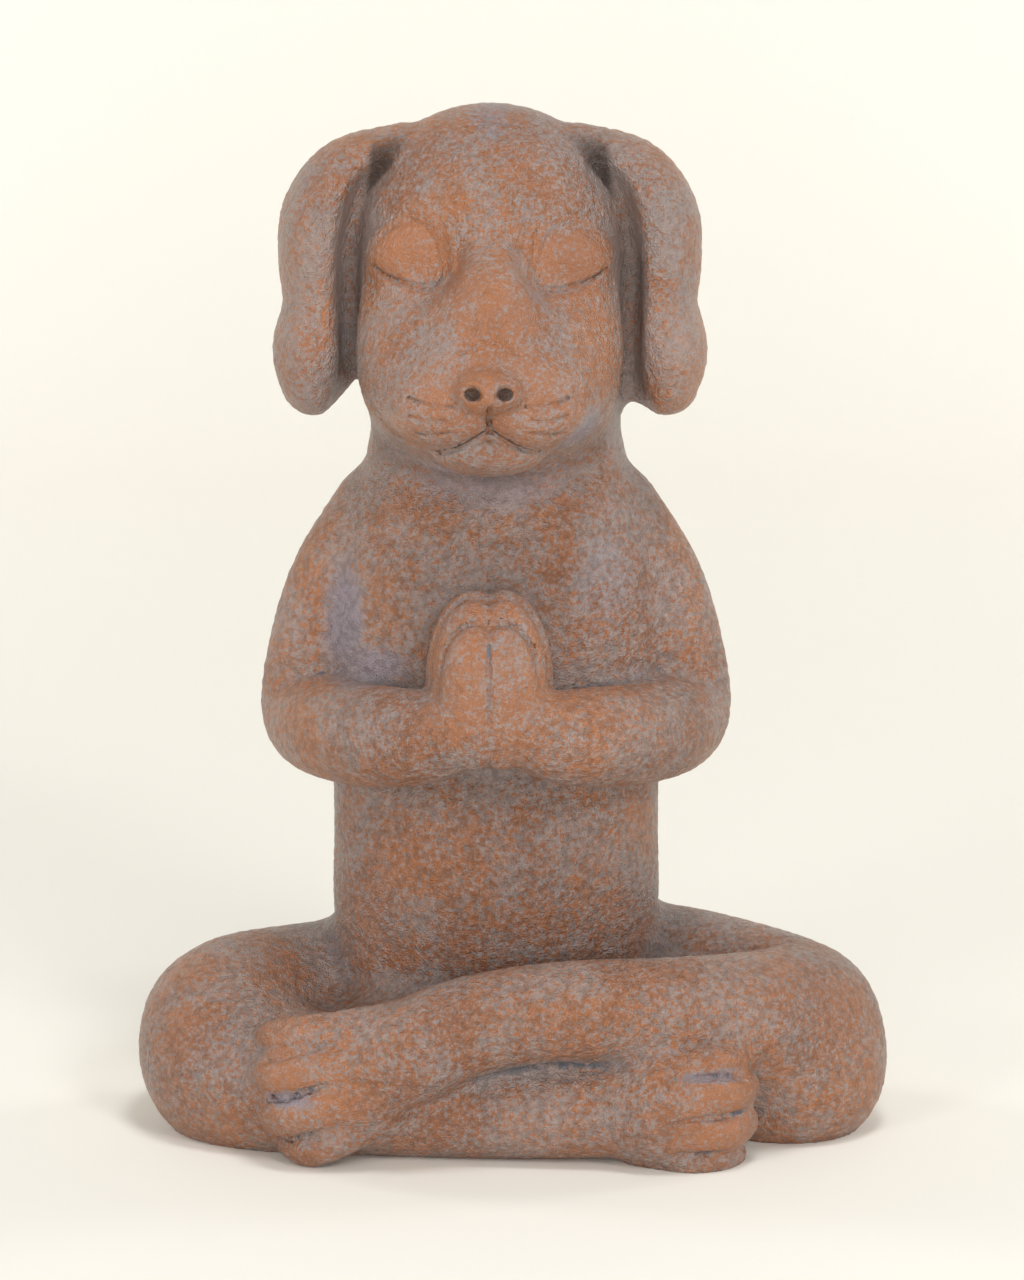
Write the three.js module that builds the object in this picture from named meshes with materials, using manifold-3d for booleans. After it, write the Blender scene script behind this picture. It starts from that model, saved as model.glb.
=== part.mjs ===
// A praying dog, cast in one piece: it sits cross-legged on the ground, paws together, eyes closed.
// The figure is modelled as rounded masses that run into each other like clay, then cut by grooves.
// Millimetres, +Z up. The dog looks along -Y, and +X is the right-hand side of someone facing it.
import * as THREE from 'three';
import Module from 'manifold-3d';

// Driving sizes
const height = 410; // from the ground to the crown of the head
const faceBudget = 9200; // triangles of the finished surface
const gridStep = 3; // spacing of the samples that find the surface

// Every size below is written for a figure 410 high, and follows its height.

// Axes of the figure, seen from the front
const spineX = -6.5;
const headX = -8.8;

// The middle of the footprint, which becomes the origin
const footprintX = 0.2;
const footprintY = -17;

// Rounded masses. Each is a function of a point that gives the distance to its surface, negative inside.

const turned = ([rx, ry, rz]) => {
  const euler = new THREE.Euler(...[rx, ry, rz].map(THREE.MathUtils.degToRad), 'XYZ');
  return new THREE.Matrix4().makeRotationFromEuler(euler).transpose().elements;
};

// Further than this from a mass, a rough distance to it will do.
const farOff = 30;

// An ellipsoid with its own half-axes, turned about x, y and z in degrees.
const egg = ([cx, cy, cz], [rx, ry, rz], turn = [0, 0, 0]) => {
  const m = turned(turn);
  const reach = Math.max(rx, ry, rz);
  return (x, y, z) => {
    const dx = x - cx;
    const dy = y - cy;
    const dz = z - cz;
    const rough = Math.sqrt(dx * dx + dy * dy + dz * dz) - reach;
    if (rough > farOff) return rough;
    const u = (m[0] * dx + m[4] * dy + m[8] * dz) / rx;
    const v = (m[1] * dx + m[5] * dy + m[9] * dz) / ry;
    const w = (m[2] * dx + m[6] * dy + m[10] * dz) / rz;
    const near = Math.sqrt(u * u + v * v + w * w);
    const slope = Math.sqrt((u / rx) ** 2 + (v / ry) ** 2 + (w / rz) ** 2);
    return slope > 1e-9 ? (near * (near - 1)) / slope : -Math.min(rx, ry, rz);
  };
};

// A smooth curve through points, as a row of short steps.
const curve = (points) => {
  const spans = points.length - 1;
  const stepsPerSpan = 5;
  return Array.from({ length: spans * stepsPerSpan + 1 }, (_, n) => {
    const i = Math.min(Math.floor(n / stepsPerSpan), spans - 1);
    const f = n / stepsPerSpan - i;
    const [p0, p1, p2, p3] = [i - 1, i, i + 1, i + 2].map((k) => points[Math.max(0, Math.min(spans, k))]);
    return p1.map((v, k) => {
      const b = (p2[k] - p0[k]) / 2;
      const c = p0[k] - 2.5 * v + 2 * p2[k] - p3[k] / 2;
      const d = (p3[k] - p0[k]) / 2 + 1.5 * (v - p2[k]);
      return v + f * (b + f * (c + f * d));
    });
  });
};

// The nearest step of a curve of [x, y, z, radius] points, as the distance to its rounded surface.
const nearest = (line, x, y, z) => {
  let best = Infinity;
  for (let i = 0; i < line.length - 1; i += 1) {
    const a = line[i];
    const b = line[i + 1];
    const ex = b[0] - a[0];
    const ey = b[1] - a[1];
    const ez = b[2] - a[2];
    const along = ((x - a[0]) * ex + (y - a[1]) * ey + (z - a[2]) * ez) / (ex * ex + ey * ey + ez * ez);
    const f = Math.max(0, Math.min(1, along));
    const dx = x - a[0] - f * ex;
    const dy = y - a[1] - f * ey;
    const dz = z - a[2] - f * ez;
    best = Math.min(best, Math.sqrt(dx * dx + dy * dy + dz * dz) - a[3] - f * (b[3] - a[3]));
  }
  return best;
};

// How far a point lies outside the ball that holds a whole curve.
const beyond = (line) => {
  const [mx, my, mz] = line[Math.floor(line.length / 2)];
  const reach = Math.max(...line.map(([x, y, z, r]) => Math.hypot(x - mx, y - my, z - mz) + r));
  return (x, y, z) => Math.sqrt((x - mx) ** 2 + (y - my) ** 2 + (z - mz) ** 2) - reach;
};

// A round limb along a smooth curve through [x, y, z, radius] points. flat stretches its section along y.
const limb = (points, flat = 1) => {
  const line = curve(points.map(([x, y, z, r]) => [x, y / flat, z, r]));
  const outside = beyond(line);
  return (x, y, z) => {
    const v = y / flat;
    const rough = outside(x, v, z);
    return rough > farOff ? rough : nearest(line, x, v, z);
  };
};

// A trunk whose level sections are rounded boxes: [z, half width, front y, back y] from the bottom up.
const trunk = (sections, boxiness) => {
  const spans = sections.length - 1;
  const at = (z, out) => {
    let i = 0;
    while (i < spans - 1 && z > sections[i + 1][0]) i += 1;
    const [p0, p1, p2, p3] = [i - 1, i, i + 1, i + 2].map((k) => sections[Math.max(0, Math.min(spans, k))]);
    const span = p2[0] - p1[0];
    const f = Math.max(0, Math.min(1, (z - p1[0]) / span));
    for (let k = 1; k < 4; k += 1) {
      const m1 = (span * (p2[k] - p0[k])) / (p2[0] - p0[0]);
      const m2 = (span * (p3[k] - p1[k])) / (p3[0] - p1[0]);
      const g = f * f * (3 - 2 * f);
      out[k - 1] = p1[k] * (1 - g) + p2[k] * g + m1 * f * (1 - f) ** 2 - m2 * f * f * (1 - f);
    }
    return out;
  };
  const size = [0, 0, 0];
  return (x, y, z) => {
    const [halfWidth, front, back] = at(z, size);
    const halfDepth = (back - front) / 2;
    const u = Math.abs(x) / halfWidth;
    const v = Math.abs(y - (front + back) / 2) / halfDepth;
    const near = (u ** boxiness + v ** boxiness) ** (1 / boxiness);
    const level = (near - 1) * Math.min(halfWidth, halfDepth);
    return Math.max(level, sections[0][0] - z, z - sections[spans][0]);
  };
};

const soft = (a, b, radius) => {
  const h = Math.max(radius - Math.abs(a - b), 0) / radius;
  return Math.min(a, b) - (h * h * radius) / 4;
};

// Masses pressed together, with a fillet of that radius where they meet.
const join = (radius, ...forms) => (x, y, z) => {
  let d = forms[0](x, y, z);
  for (let i = 1; i < forms.length; i += 1) d = soft(d, forms[i](x, y, z), radius);
  return d;
};

const cut = (radius, body, tool) => (x, y, z) => -soft(-body(x, y, z), tool(x, y, z), radius);
const moved = (dx, dy, dz, form) => (x, y, z) => form(x - dx, y - dy, z - dz);
const pair = (form) => (x, y, z) => form(Math.abs(x), y, z);

// Where a straight line along +Y first meets a mass.
const frontOf = (body, x, z) => {
  let y = -140;
  for (let d = body(x, y, z); d > 0.05 && y < 0; d = body(x, y, z)) y += Math.max(0.7 * d, 0.05);
  return y;
};

// A line drawn on the front of a mass through [x, z, half width] points.
// It sinks by depth, or stands out where depth is below zero.
const stroke = (body, points, depth) => {
  const line = curve(points.map(([x, z, halfWidth]) => [x, frontOf(body, x, z), z, halfWidth]));
  const outside = beyond(line);
  const skin = 9;
  return (x, y, z) => {
    const d = body(x, y, z);
    if (Math.abs(d) > skin || outside(x, y, z) > 0) return d;
    const off = 1 + nearest(line, x, y, z) / points[0][2];
    return off < 1 ? d + depth * (1 - Math.max(0, off) ** 2) ** 2 : d;
  };
};

// The torso, from the seat up into the neck
const trunkForm = trunk(
  [
    [-12, 60, -46, 52],
    [40, 63, -52, 54],
    [85, 67, -58, 52],
    [118, 66.5, -59, 49],
    [150, 67, -57, 47],
    [190, 70, -56, 47],
    [222, 68, -52, 46],
    [247, 61, -44, 42],
    [265, 54, -37, 38],
    [282, 50.5, -32, 35],
    [305, 49, -28, 34],
    [330, 44, -20, 36],
  ],
  2.35,
);
const shoulderBlade = egg([34, 30, 212], [25, 17, 38], [0, 10, 0]);
const spineFurrow = limb([
  [0, 58, 250, 8],
  [0, 60, 190, 10],
  [0, 58, 120, 10],
]);
const torso = cut(12, join(20, trunkForm, pair(shoulderBlade)), spineFurrow);

// One arm, from the shoulder round the elbow to the wrist
const arm = limb([
  [46, 2, 243, 22],
  [60, 0, 217, 24],
  [69, -5, 191, 23.5],
  [74, -11, 166, 21.5],
  [63, -43, 163, 20.5],
  [40, -69, 165, 20],
  [21, -80, 168, 17.5],
  [9, -85, 174, 15],
]);

// The praying paws: pressed together they make three nested domes, each reaching higher than the last and
// each parted down the middle
const dome = join(
  1.5,
  egg([5.5, -90, 184], [14, 10.5, 28], [-3, 0, 0]),
  egg([6, -81, 188], [16.5, 11.5, 32.5], [-3, 0, 0]),
  egg([6, -71, 188], [19, 14, 35.5], [-3, 0, 0]),
);
const seam = [
  [0, 210, 2],
  [0, 200, 2.2],
  [0, 185, 2.2],
  [0, 170, 2],
];
const palms = join(6, egg([0, -62, 184], [16, 19, 33]), egg([0, -56, 168], [38, 15, 17]));
const hands = join(4, stroke(pair(dome), seam, 1.6), palms);

// The head
const skull = egg([0, -2, 352], [58, 53, 58]);
const jaw = egg([0, -25, 315], [56, 43, 48]);
const muzzle = egg([0, -48, 299], [43, 41, 25], [-8, 0, 0]);
const bridge = egg([0, -52, 322], [21, 27, 32], [35, 0, 0]);
const lip = egg([17, -68, 291], [20, 20, 13], [0, -8, 12]);
const chin = egg([0, -58, 277], [23, 21, 11]);
const nose = egg([0, -86, 302], [13.6, 12.5, 9]);
const socket = egg([31.5, -60, 352], [19, 13, 16]);
const lid = egg([32.5, -36.5, 351.5], [15.5, 13.5, 13.5]);
const nostril = egg([6.2, -99, 302.3], [3.2, 6, 2.2]);

// Lines drawn on the face, as [x, z, half width]
const browFold = [
  [21, 366, 3],
  [17, 359, 4],
  [14.5, 351, 4],
  [14, 343, 3],
];
const lidLine = [
  [19, 343, 2],
  [22, 340, 2.4],
  [28, 339.5, 2.6],
  [34.5, 341, 2.6],
  [41, 343.8, 2.4],
  [46, 347.6, 1.8],
];
const mouthLine = [
  [0, 296, 2.2],
  [0, 286.5, 2.6],
  [7.5, 282.5, 2.6],
  [13, 279, 2.4],
  [20, 277, 2],
];
const cheekLine = [
  [20, 277, 2.5],
  [29, 277.5, 3.5],
  [36, 281.5, 3.5],
  [41, 288, 2.5],
];

const skullAndJaw = join(14, join(20, join(14, skull, jaw), muzzle), bridge);
const eyed = join(4, cut(9, skullAndJaw, pair(socket)), pair(lid));
const muzzled = join(3, join(9, eyed, pair(lip)), chin);
const carved = [
  [browFold, -1.1],
  [lidLine, 2.2],
  [mouthLine, 2.4],
  [cheekLine, 0.9],
].reduce((form, [line, depth]) => stroke(form, line, depth), cut(1.5, join(3, muzzled, nose), nostril));
const head = pair(carved);

// One ear: a broad flap that hangs down the side of the head, with a groove between it and the face
const earFlap = limb(
  [
    [36, -4, 393, 9],
    [57, -3, 383.5, 13],
    [66.5, -3, 366, 17],
    [68, -3, 347, 17],
    [67.5, -4, 330, 16],
    [70.5, -7, 312, 17],
    [70.5, -10, 299, 13.5],
  ],
  2,
);
const earGroove = limb(
  [
    [42, -30, 384, 1.5],
    [51, -27, 373, 3],
    [55.5, -24, 350, 4],
    [55.5, -22, 325, 4.5],
    [54, -20, 303, 5.5],
    [56, -16, 286, 8],
  ],
  2.6,
);

const headWithEars = cut(5, join(5, head, pair(earFlap)), pair(earGroove));

// The crossed legs. Each runs from the hip over the knee and back across the middle.
const underLeg = limb([
  [-36, 24, 40, 34],
  [-78, 6, 37, 36],
  [-113.5, -28, 35, 38],
  [-98, -58, 26, 32],
  [-52, -77, 24, 25],
  [-5, -83, 21, 21.5],
  [35, -88, 21, 20],
  [52, -92, 22, 19],
]);
const overLeg = limb([
  [38, 24, 44, 36],
  [78, 7, 40.5, 36.5],
  [114, -26, 36, 37],
  [99, -57, 46, 30],
  [62, -80, 56, 23],
  [20, -90, 60, 20],
  [-15, -94, 55.5, 20],
  [-38, -96, 46, 21],
]);
const knee = egg([108, -40, 22], [40, 38, 33]);

// Each foot is a rounded heel and ball with four toes that curl back at their tips.
const foot = (heel, ball, toes) => join(2, heel, ball, ...toes.map((toe) => limb(toe)));
const underFoot = foot(egg([60, -95, 25], [23, 20, 25]), egg([75, -93, 23], [19.5, 13.5, 24]), [
  [[50, -91, 36, 12], [66, -101, 41, 8], [80, -99, 42.8, 6.8], [88.5, -91, 41, 5.8]],
  [[50, -94, 29, 14], [68, -102, 30.8, 9.6], [82, -100, 30.6, 9], [89.5, -91, 30.5, 7.4]],
  [[50, -94, 18, 13], [68, -102, 15.5, 9.2], [82, -100, 15.3, 8.8], [89.5, -91, 16, 7.2]],
  [[52, -92, 8, 10], [68, -100, 3.5, 8], [79, -98, 3, 7], [86, -91, 3.5, 6]],
]);
const overFoot = foot(egg([-58, -92, 34], [27, 18, 28]), egg([-80, -89, 31], [19, 14.5, 26]), [
  [[-54, -94, 50, 13], [-74, -98, 53.4, 8.2], [-88, -92, 50.4, 7.8], [-94.5, -83, 48, 6.8]],
  [[-54, -98, 42, 15], [-76, -102, 41.2, 9.6], [-89, -97, 37.4, 9.3], [-95.5, -87, 35.5, 8]],
  [[-54, -98, 31, 15], [-76, -103, 25.5, 9.6], [-88, -97, 21, 9.3], [-93.5, -87, 19.8, 8]],
  [[-54, -96, 24, 13], [-71, -100, 11, 8.4], [-81, -95, 7.2, 7.6], [-87.5, -87, 7.8, 6.4]],
]);
const lap = egg([0, -34, 26], [92, 58, 38]);
const tail = limb([
  [-6, 50, 16, 14],
  [14, 68, 12, 12],
  [38, 74, 10, 10],
  [58, 68, 9, 7],
]);

const folded = join(2.5, join(7, underLeg, underFoot), join(7, overLeg, overFoot));
const legs = join(10, folded, moved(2.5, 0, 0, pair(knee)));
const trunkAndArms = moved(spineX, 0, 0, join(5, torso, pair(arm)));
const bust = join(14, trunkAndArms, moved(headX, 0, 0, headWithEars));
const upper = join(2.5, bust, moved(headX, 0, 0, hands));
const dog = join(10, join(8, upper, lap), legs, tail);

// The surface of a form, found on a grid of cubes that are each cut into six tetrahedra. It is always closed.
const corners = [[0, 0, 0], [1, 0, 0], [0, 1, 0], [1, 1, 0], [0, 0, 1], [1, 0, 1], [0, 1, 1], [1, 1, 1]];
const tetrahedra = [[0, 1, 3, 7], [0, 3, 2, 7], [0, 2, 6, 7], [0, 6, 4, 7], [0, 4, 5, 7], [0, 5, 1, 7]];

function surfaceOf(form, low, high, step) {
  const count = low.map((v, i) => Math.ceil((high[i] - v) / step) + 1);
  const [nx, ny, nz] = count;
  const id = (i, j, k) => (k * ny + j) * nx + i;
  const cellOf = (n) => [n % nx, Math.floor(n / nx) % ny, Math.floor(n / (nx * ny))];
  const place = (n) => cellOf(n).map((v, a) => low[a] + v * step);
  const value = new Float32Array(nx * ny * nz).fill(NaN);
  const sample = (i, j, k) => {
    const n = id(i, j, k);
    if (Number.isNaN(value[n])) value[n] = form(...place(n)) || step / 1000;
    return value[n];
  };
  const block = 4;
  const reach = block * step * 2.5;
  const points = [];
  const faces = [];
  const crossing = new Map();
  const cross = (a, b) => {
    const key = a < b ? a * value.length + b : b * value.length + a;
    let n = crossing.get(key);
    if (n === undefined) {
      const f = value[a] / (value[a] - value[b]);
      const [p, q] = [place(a), place(b)];
      n = points.length;
      points.push(p.map((v, i) => v + f * (q[i] - v)));
      crossing.set(key, n);
    }
    return n;
  };
  const cellAt = (i, j, k) => {
    const below = corners.filter(([a, b, c]) => sample(i + a, j + b, k + c) < 0).length;
    if (below === 0 || below === corners.length) return;
    const ids = corners.map(([a, b, c]) => id(i + a, j + b, k + c));
    tetrahedra.forEach((tetra) => {
      const inside = tetra.filter((c) => value[ids[c]] < 0);
      const outside = tetra.filter((c) => value[ids[c]] >= 0);
      if (!inside.length || !outside.length) return;
      const lone = inside.length === 1 ? inside[0] : outside[0];
      const ring =
        inside.length === 2
          ? [[0, 0], [0, 1], [1, 1], [1, 0]].map(([m, n]) => cross(ids[inside[m]], ids[outside[n]]))
          : tetra.filter((c) => c !== lone).map((c) => cross(ids[c], ids[lone]));
      const from = new THREE.Vector3(...corners[inside[0]]);
      const to = new THREE.Vector3(...corners[outside[0]]);
      const [a, b, c] = ring.slice(0, 3).map((n) => new THREE.Vector3(...points[n]));
      const normal = b.sub(a).cross(c.sub(a));
      if (normal.dot(to.sub(from)) < 0) ring.reverse();
      for (let n = 1; n < ring.length - 1; n += 1) faces.push([ring[0], ring[n], ring[n + 1]]);
    });
  };
  for (let k = 0; k < nz - 1; k += block)
    for (let j = 0; j < ny - 1; j += block)
      for (let i = 0; i < nx - 1; i += block) {
        const middle = [i, j, k].map((v, a) => low[a] + (v + block / 2) * step);
        if (Math.abs(form(...middle)) > reach) continue;
        for (let c = k; c < Math.min(k + block, nz - 1); c += 1)
          for (let b = j; b < Math.min(j + block, ny - 1); b += 1)
            for (let a = i; a < Math.min(i + block, nx - 1); a += 1) cellAt(a, b, c);
      }
  return { points, faces };
}

// Fewer triangles for the same surface: edges are closed up one by one, the least telling first. The error
// of a vertex is the sum of squared distances to the planes it has absorbed, after Garland and Heckbert.
function simplified({ points, faces }, budget, worth) {
  const terms = 10;
  const at = new Float64Array(points.flat());
  const tri = new Int32Array(faces.flat());
  const error = new Float64Array(points.length * terms);
  const around = points.map(() => []);
  const version = new Int32Array(points.length);
  const gone = new Uint8Array(faces.length);
  const normal = [0, 0, 0];

  // The normal of face n, as long as twice its area, with vertex v moved to x, y, z.
  const setNormal = (n, v, x, y, z) => {
    const p = [0, 0, 0, 0, 0, 0, 0, 0, 0];
    for (let c = 0; c < 3; c += 1) {
      const w = tri[3 * n + c];
      p[3 * c] = w === v ? x : at[3 * w];
      p[3 * c + 1] = w === v ? y : at[3 * w + 1];
      p[3 * c + 2] = w === v ? z : at[3 * w + 2];
    }
    const [ax, ay, az] = [p[3] - p[0], p[4] - p[1], p[5] - p[2]];
    const [bx, by, bz] = [p[6] - p[0], p[7] - p[1], p[8] - p[2]];
    normal[0] = ay * bz - az * by;
    normal[1] = az * bx - ax * bz;
    normal[2] = ax * by - ay * bx;
    return Math.sqrt(normal[0] ** 2 + normal[1] ** 2 + normal[2] ** 2);
  };

  for (let n = 0; n < faces.length; n += 1) {
    const area = setNormal(n, -1, 0, 0, 0) || 1e-12;
    const [a, b, c] = normal.map((v) => v / area);
    const [px, py, pz] = points[tri[3 * n]];
    const d = -(a * px + b * py + c * pz);
    const plane = [a * a, a * b, a * c, a * d, b * b, b * c, b * d, c * c, c * d, d * d];
    const weight = area * worth(px, py, pz);
    for (let c3 = 0; c3 < 3; c3 += 1) {
      const v = tri[3 * n + c3];
      around[v].push(n);
      for (let k = 0; k < terms; k += 1) error[v * terms + k] += plane[k] * weight;
    }
  }

  // The best place for the one vertex that takes over from two, and what it costs.
  const q = new Float64Array(terms);
  const best = [0, 0, 0];
  const costOf = (x, y, z) =>
    q[0] * x * x + q[4] * y * y + q[7] * z * z + q[9] +
    2 * (q[1] * x * y + q[2] * x * z + q[3] * x + q[5] * y * z + q[6] * y + q[8] * z);
  const plan = (a, b) => {
    for (let k = 0; k < terms; k += 1) q[k] = error[a * terms + k] + error[b * terms + k];
    let least = Infinity;
    const consider = (x, y, z) => {
      const cost = costOf(x, y, z);
      if (cost >= least) return;
      least = cost;
      best[0] = x;
      best[1] = y;
      best[2] = z;
    };
    const [ax, ay, az] = at.subarray(3 * a, 3 * a + 3);
    const [bx, by, bz] = at.subarray(3 * b, 3 * b + 3);
    consider(ax, ay, az);
    consider(bx, by, bz);
    consider((ax + bx) / 2, (ay + by) / 2, (az + bz) / 2);
    const m00 = q[4] * q[7] - q[5] * q[5];
    const m01 = q[2] * q[5] - q[1] * q[7];
    const m02 = q[1] * q[5] - q[2] * q[4];
    const det = q[0] * m00 + q[1] * m01 + q[2] * m02;
    if (Math.abs(det) > 1e-4 * (q[0] + q[4] + q[7]) ** 3) {
      const m11 = q[0] * q[7] - q[2] * q[2];
      const m12 = q[1] * q[2] - q[0] * q[5];
      const m22 = q[0] * q[4] - q[1] * q[1];
      consider(
        -(m00 * q[3] + m01 * q[6] + m02 * q[8]) / det,
        -(m01 * q[3] + m11 * q[6] + m12 * q[8]) / det,
        -(m02 * q[3] + m12 * q[6] + m22 * q[8]) / det,
      );
    }
    return Math.max(0, least);
  };

  // The waiting edges, kept as a heap with the cheapest on top
  const heap = [];
  const edges = [];
  const costs = [];
  const push = (a, b) => {
    const item = costs.length;
    const cost = plan(a, b);
    costs.push(cost);
    edges.push(a, b, version[a] + version[b]);
    let n = heap.push(item) - 1;
    while (n > 0) {
      const up = (n - 1) >> 1;
      if (costs[heap[up]] <= cost) break;
      heap[n] = heap[up];
      n = up;
    }
    heap[n] = item;
  };
  const pop = () => {
    const top = heap[0];
    const last = heap.pop();
    const count = heap.length;
    let n = 0;
    for (let down = 1; down < count; down = 2 * n + 1) {
      if (down + 1 < count && costs[heap[down + 1]] < costs[heap[down]]) down += 1;
      if (costs[heap[down]] >= costs[last]) break;
      heap[n] = heap[down];
      n = down;
    }
    heap[n] = last;
    return top;
  };

  const seen = new Int32Array(points.length);
  let round = 0;
  const neighbours = (v) => {
    const out = [];
    round += 1;
    seen[v] = round;
    around[v].forEach((n) => {
      for (let c = 3 * n; c < 3 * n + 3; c += 1) {
        if (seen[tri[c]] === round) continue;
        seen[tri[c]] = round;
        out.push(tri[c]);
      }
    });
    return out;
  };
  const has = (n, v) => tri[3 * n] === v || tri[3 * n + 1] === v || tri[3 * n + 2] === v;
  const turnsOver = (v, other, x, y, z) =>
    around[v].some((n) => {
      if (has(n, other)) return false;
      const sizeBefore = setNormal(n, -1, 0, 0, 0);
      const [a, b, c] = normal;
      const sizeAfter = setNormal(n, v, x, y, z);
      const agreement = a * normal[0] + b * normal[1] + c * normal[2];
      return sizeAfter < 0.05 || agreement < 0.3 * sizeBefore * sizeAfter;
    });

  for (let n = 0; n < faces.length; n += 1)
    for (let c = 0; c < 3; c += 1) {
      const [a, b] = [tri[3 * n + c], tri[3 * n + ((c + 1) % 3)]];
      if (a < b) push(a, b);
    }
  let left = faces.length;
  while (left > budget && heap.length > 1) {
    const item = pop();
    const [a, b, stamp] = edges.slice(3 * item, 3 * item + 3);
    if (stamp !== version[a] + version[b] || around[a].length === 0 || around[b].length === 0) continue;
    const nearB = neighbours(b);
    neighbours(a);
    const shared = nearB.filter((v) => v !== a && seen[v] === round).length;
    plan(a, b);
    const [x, y, z] = best;
    if (shared !== 2 || turnsOver(a, b, x, y, z) || turnsOver(b, a, x, y, z)) continue;
    at.set(best, 3 * a);
    for (let k = 0; k < terms; k += 1) error[a * terms + k] += error[b * terms + k];
    const closed = around[b].filter((n) => has(n, a));
    closed.forEach((n) => {
      gone[n] = 1;
      for (let c = 3 * n; c < 3 * n + 3; c += 1) around[tri[c]] = around[tri[c]].filter((m) => m !== n);
    });
    around[b].forEach((n) => {
      for (let c = 3 * n; c < 3 * n + 3; c += 1) if (tri[c] === b) tri[c] = a;
      around[a].push(n);
    });
    around[b] = [];
    left -= closed.length;
    version[a] += 1;
    neighbours(a).forEach((v) => push(a, v));
  }

  const kept = faces.map((_, n) => [...tri.subarray(3 * n, 3 * n + 3)]).filter((_, n) => !gone[n]);
  const used = [...new Set(kept.flat())];
  const place = new Map(used.map((v, n) => [v, n]));
  return {
    points: used.map((v) => [...at.subarray(3 * v, 3 * v + 3)]),
    faces: kept.map((face) => face.map((v) => place.get(v))),
  };
}

// The face, the paws and the feet earn more triangles than the rest.
const near = ([cx, cy, cz], reach) => (x, y, z) =>
  Math.max(0, 1 - Math.hypot(x - cx, y - cy, z - cz) / reach);
const faceArea = near([headX, -70, 320], 75);
const pawArea = near([headX, -85, 195], 45);
const footAreas = [near([72, -105, 25], 45), near([-75, -100, 32], 45)];
const worth = (x, y, z) =>
  1 + 60 * faceArea(x, y, z) ** 2 + 12 * (pawArea(x, y, z) + footAreas[0](x, y, z) + footAreas[1](x, y, z));

const low = [-165, -130, -22.5];
const high = [165, 100, 418];
const rough = simplified(surfaceOf(dog, low, high, gridStep), faceBudget, worth);

// The figure is cut off level with the ground, so that it stands on a flat underside.
const wasm = await Module();
wasm.setup();
const solidOf = (points, faces) =>
  new wasm.Manifold(
    new wasm.Mesh({
      numProp: 3,
      vertProperties: new Float32Array(points.flat()),
      triVerts: new Uint32Array(faces.flat()),
    }),
  );
const margin = 20;
const slabLow = [low[0] - margin, low[1] - margin, low[2] - margin];
const slabHigh = [high[0] + margin, high[1] + margin, 0];
const slabPoints = corners.map((corner) => corner.map((far, a) => (far ? slabHigh[a] : slabLow[a])));
const slabFaces = [
  [[0, 2, 1], [1, 2, 3]],
  [[4, 5, 6], [5, 7, 6]],
  [[0, 1, 4], [1, 5, 4]],
  [[2, 6, 3], [3, 6, 7]],
  [[0, 4, 2], [2, 4, 6]],
  [[1, 3, 5], [3, 7, 5]],
].flat();
const cast = solidOf(rough.points, rough.faces).subtract(solidOf(slabPoints, slabFaces)).getMesh();

const geometry = new THREE.BufferGeometry();
geometry.setAttribute('position', new THREE.BufferAttribute(new Float32Array(cast.vertProperties), 3));
geometry.setIndex([...cast.triVerts]);
geometry.computeBoundingBox();
const scale = height / geometry.boundingBox.max.z;
geometry.translate(-footprintX, -footprintY, 0);
geometry.scale(scale, scale, scale);

const material = new THREE.MeshStandardMaterial({ color: 0x96705a, roughness: 0.75, metalness: 0 });
const statue = new THREE.Mesh(geometry, material);
statue.name = 'praying_dog';
const figure = new THREE.Group();
figure.add(statue);
export default figure;
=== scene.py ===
import math

import bmesh
import bpy
import numpy as np
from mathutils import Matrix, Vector
from mathutils.kdtree import KDTree


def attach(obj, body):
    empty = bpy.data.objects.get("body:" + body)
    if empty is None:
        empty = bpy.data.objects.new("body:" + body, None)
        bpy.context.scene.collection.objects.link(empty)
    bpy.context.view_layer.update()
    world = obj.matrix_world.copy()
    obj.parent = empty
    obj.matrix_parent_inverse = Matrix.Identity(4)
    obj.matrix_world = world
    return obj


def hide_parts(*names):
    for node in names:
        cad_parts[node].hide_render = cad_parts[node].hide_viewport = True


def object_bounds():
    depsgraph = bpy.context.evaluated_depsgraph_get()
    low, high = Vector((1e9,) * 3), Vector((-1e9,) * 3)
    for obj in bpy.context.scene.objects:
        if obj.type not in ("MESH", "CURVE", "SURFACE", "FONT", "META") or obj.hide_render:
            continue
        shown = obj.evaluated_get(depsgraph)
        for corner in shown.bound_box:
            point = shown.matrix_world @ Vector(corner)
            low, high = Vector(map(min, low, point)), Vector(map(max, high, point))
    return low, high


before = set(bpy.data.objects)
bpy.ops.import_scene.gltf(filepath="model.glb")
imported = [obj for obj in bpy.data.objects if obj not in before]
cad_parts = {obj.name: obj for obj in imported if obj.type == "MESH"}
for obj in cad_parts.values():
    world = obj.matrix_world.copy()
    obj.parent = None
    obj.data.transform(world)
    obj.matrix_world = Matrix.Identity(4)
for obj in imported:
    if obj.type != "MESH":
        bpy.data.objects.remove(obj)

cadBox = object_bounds()

# A dog at prayer, cast in one piece and painted. The shape is modelled in millimetres as rounded masses
# pressed together and then grooved, and the skin of the cast is drawn onto it.
mm = 0.001
figure = {
    "name": "prayingDogCast",
    "footCentre": (0.2, -17.0, 0.0),   # middle of the footprint, the origin of the part's frame
    "grow": 1.0005,   # brings the modelled height to the real one
    "spineX": -6.5,
    "headX": -8.8,
}


# Rounded masses: each gives the distance from a set of points to its surface, negative inside.

farOff = 25.0   # beyond this a rough distance will do


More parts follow.
